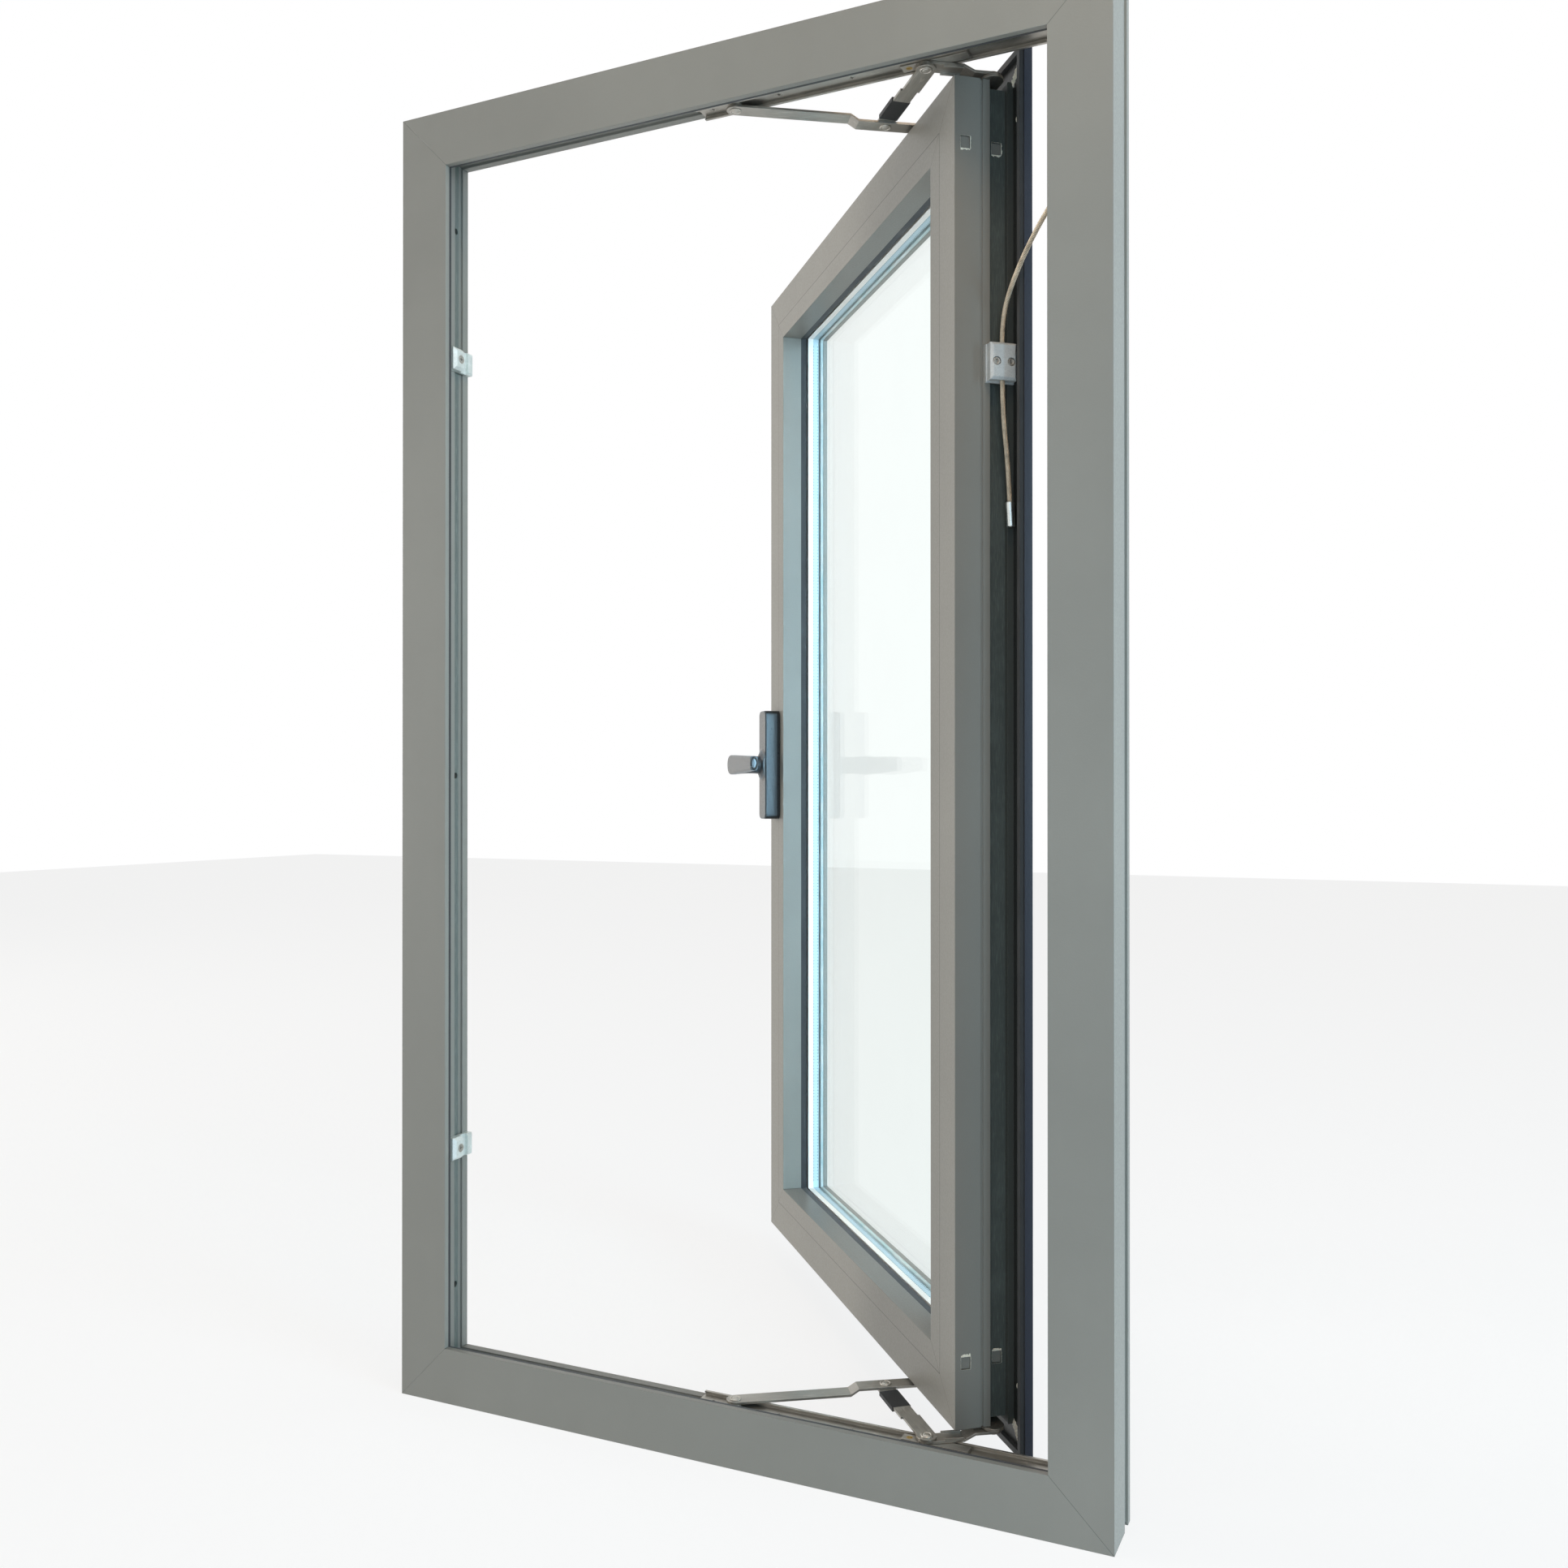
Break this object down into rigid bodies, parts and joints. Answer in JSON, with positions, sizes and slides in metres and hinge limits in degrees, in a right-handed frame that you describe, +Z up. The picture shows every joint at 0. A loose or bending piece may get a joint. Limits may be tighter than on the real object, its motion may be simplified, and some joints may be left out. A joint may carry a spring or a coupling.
{
  "type": "casement window with friction stays",
  "caption": "Outward-opening casement window: frame, double-glazed sash on friction stays, lever handle, locking bar with keepers and a restrictor cable.",
  "frame": {"origin": "on the frame's room face, at mid-width, level with the underside of the sill", "axes": "+X towards the hinge jamb as seen from the room, +Y outdoors through the wall, +Z up"},
  "size_m": [0.64, 0.5204, 1.15],
  "materials": {
    "frame_paint": "matte grey powder coat",
    "thermal_break": "matt",
    "cast_alloy": "satin cast",
    "gasket": "matt",
    "zinc": "bright zinc plate",
    "stainless": "satin",
    "black_plastic": "matt",
    "brass": "bright",
    "aluminium": "mill",
    "glass": "clear",
    "sealant": "matt"
  },
  "bodies": {
    "frame": {"frame_sill": "frame_paint", "frame_head": "frame_paint", "frame_lock_jamb": "frame_paint", "frame_hinge_jamb": "frame_paint", "frame_thermal_breaks": "thermal_break", "frame_corner_cleats": "cast_alloy", "frame_gasket": "gasket", "keeper_lower": "zinc", "keeper_upper": "zinc", "keeper_screws": "zinc", "cable_anchor": "cast_alloy", "cable_anchor_screw": "stainless", "stay_tracks": "stainless", "stay_track_screws": "stainless", "stay_fixed_rivets": "stainless", "cable_upper": "stainless"},
    "arms": {"stay_long_arms": "stainless", "stay_middle_rivets": "stainless"},
    "sash": {"sash_bottom_rail": "frame_paint", "sash_top_rail": "frame_paint", "sash_lock_stile": "frame_paint", "sash_hinge_stile": "frame_paint", "glazing_bead_bottom": "frame_paint", "glazing_bead_left": "frame_paint", "glazing_bead_top": "frame_paint", "glazing_bead_right": "frame_paint", "sash_thermal_breaks": "thermal_break", "sash_corner_cleats": "cast_alloy", "glass_inner": "glass", "glass_outer": "glass", "glass_spacer": "aluminium", "glass_sealant": "sealant", "gasket_glazing_inner": "gasket", "gasket_glazing_outer": "gasket", "gasket_flange": "gasket", "glazing_blocks": "black_plastic", "stay_sash_plates": "stainless", "stay_plate_screws": "stainless", "stay_end_rivets": "stainless", "stay_nose_rivets": "stainless", "cable_clamp_base": "cast_alloy", "cable_clamp_cover": "cast_alloy", "cable_clamp_screws": "stainless", "cable_tail": "stainless", "cable_ferrule": "stainless", "handle_base": "frame_paint", "handle_plate": "zinc", "handle_screws": "zinc", "lock_gear_case": "zinc", "lock_guides": "zinc"},
    "short_links": {"stay_short_links": "stainless", "stay_link_pads": "black_plastic"},
    "shoes": {"stay_shoes": "black_plastic", "stay_friction_screws": "brass", "stay_shoe_rivets": "stainless"},
    "nose_links": {"stay_nose_links": "stainless"},
    "handle": {"handle_lever": "frame_paint", "handle_spindle": "zinc"},
    "lock_rods": {"lock_rod": "aluminium", "lock_cams": "zinc"}
  },
  "joints": [
    {"name": "arm_turn", "type": "hinge", "parent": "frame", "child": "arms", "pos_m": [-0.0036, 0.0421, 0.575], "axis": [0, 0, 1], "range_deg": [-34.15, 3], "deforming": ["cable_upper"]},
    {"name": "sash_turn", "type": "hinge", "parent": "arms", "child": "sash", "pos_m": [0.14719, 0.14438, 0.575], "axis": [0, 0, 1], "range_deg": [-7.39, 83.55]},
    {"name": "link_turn", "type": "hinge", "parent": "arms", "child": "short_links", "pos_m": [0.10266, 0.11418, 0.575], "axis": [0, 0, 1], "range_deg": [-7.39, 83.55]},
    {"name": "shoe_turn", "type": "hinge", "parent": "short_links", "child": "shoes", "pos_m": [0.16455, 0.0421, 0.575], "axis": [0, 0, 1], "range_deg": [-49.4, 4.39]},
    {"name": "nose_turn", "type": "hinge", "parent": "sash", "child": "nose_links", "pos_m": [0.20907, 0.0723, 0.575], "axis": [0, 0, 1], "range_deg": [-83.55, 7.39]},
    {"name": "handle_turn", "type": "hinge", "parent": "sash", "child": "handle", "pos_m": [-0.15876, 0.44989, 0.573], "axis": [0.7587, 0.6514, 0], "range_deg": [0, 90]},
    {"name": "lock_slide", "type": "slide", "parent": "sash", "child": "lock_rods", "axis": [0, 0, 1], "range_m": [-0.0001, 0.0201]}
  ],
  "couplings": [
    {"joint": "sash_turn", "follows": "arm_turn", "ratio": -2.4451},
    {"joint": "link_turn", "follows": "arm_turn", "ratio": -2.4451},
    {"joint": "shoe_turn", "follows": "arm_turn", "ratio": 1.4451},
    {"joint": "nose_turn", "follows": "arm_turn", "ratio": 2.4451},
    {"joint": "lock_slide", "follows": "handle_turn", "m_per_rad": 0.012732}
  ]
}
